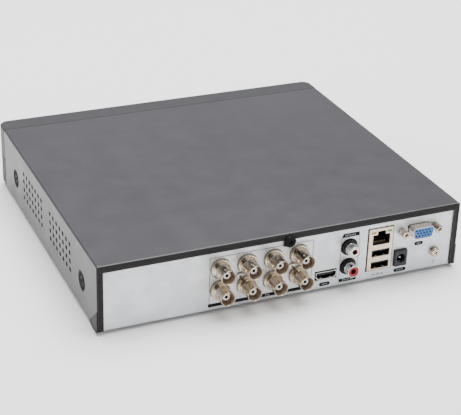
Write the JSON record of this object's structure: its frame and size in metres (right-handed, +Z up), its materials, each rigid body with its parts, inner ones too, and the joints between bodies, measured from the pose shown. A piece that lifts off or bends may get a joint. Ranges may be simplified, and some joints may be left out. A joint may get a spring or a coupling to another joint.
{
  "type": "dvr recorder",
  "caption": "Slim desktop video recorder with a folded steel cover, side vents, moulded front, rows of bayonet video sockets and a disk drive inside.",
  "frame": {"origin": "middle of the object's footprint on the surface it stands on, under the centre of its bounding box", "axes": "+Z up; +Y out of the connector panel at the back; -Y out of the moulded front; +X towards the viewer's left when looking at the connector panel"},
  "size_m": [0.253, 0.246, 0.0485],
  "materials": {
    "black_paint": "satin",
    "bezel_plastic": "fine texture",
    "zinc_steel": "galvanised",
    "smoked_acrylic": "polished",
    "foot_rubber": "matte",
    "black_screw": "black zinc",
    "nickel": "nickel plate",
    "white_plastic": "smooth",
    "red_plastic": "smooth",
    "blue_plastic": "smooth",
    "black_plastic": "fine texture",
    "board_green": "solder mask",
    "aluminium": "satin",
    "cable_red": "smooth",
    "cable_black": "smooth"
  },
  "bodies": {
    "recorder": {"bnc_housing": "black_plastic", "bnc_housing_screw_1": "nickel", "bnc_housing_screw_2": "nickel", "bnc_insulator_1": "white_plastic", "bnc_insulator_2": "white_plastic", "bnc_insulator_3": "white_plastic", "bnc_insulator_4": "white_plastic", "bnc_insulator_5": "white_plastic", "bnc_insulator_6": "white_plastic", "bnc_insulator_7": "white_plastic", "bnc_insulator_8": "white_plastic", "bnc_shell_1": "nickel", "bnc_shell_2": "nickel", "bnc_shell_3": "nickel", "bnc_shell_4": "nickel", "bnc_shell_5": "nickel", "bnc_shell_6": "nickel", "bnc_shell_7": "nickel", "bnc_shell_8": "nickel", "chassis_tray": "zinc_steel", "coin_cell": "nickel", "dc_jack_body": "black_plastic", "dc_jack_pin": "nickel", "disk_power_lead": "cable_black", "foot_front_left": "foot_rubber", "foot_front_right": "foot_rubber", "foot_rear_left": "foot_rubber", "foot_rear_right": "foot_rubber", "front_bezel": "bezel_plastic", "front_window": "smoked_acrylic", "ground_screw": "nickel", "ground_washer": "nickel", "hdd_board": "board_green", "hdd_casting": "aluminium", "hdd_lid": "aluminium", "hdmi_shell": "nickel", "hdmi_tongue": "black_plastic", "heat_sink": "aluminium", "lan_usb_core": "black_plastic", "lan_usb_shield": "nickel", "mainboard": "board_green", "rca_housing": "black_plastic", "rca_insulator_in": "white_plastic", "rca_insulator_out": "red_plastic", "rca_shell_in": "nickel", "rca_shell_out": "nickel", "rear_cover_screw": "black_screw", "sata_data_lead": "cable_red", "side_screw_left_front": "black_screw", "side_screw_left_rear": "black_screw", "side_screw_right_front": "black_screw", "side_screw_right_rear": "black_screw", "status_board": "board_green", "top_cover": "black_paint", "vga_insert": "blue_plastic", "vga_post_left": "nickel", "vga_post_right": "nickel", "vga_shell": "nickel"},
    "disk_platter": {"hdd_platter": "aluminium"},
    "head_arm": {"hdd_arm": "aluminium"}
  },
  "joints": [
    {"name": "disk_spindle", "type": "hinge", "parent": "recorder", "child": "disk_platter", "pos_m": [0.0602, -0.04455, 0.0225], "axis": [0, 0, 1], "continuous": true},
    {"name": "head_arm_pivot", "type": "hinge", "parent": "recorder", "child": "head_arm", "pos_m": [0.0102, -0.07055, 0.0225], "axis": [0, 0, 1], "range_deg": [-30, 0]}
  ]
}
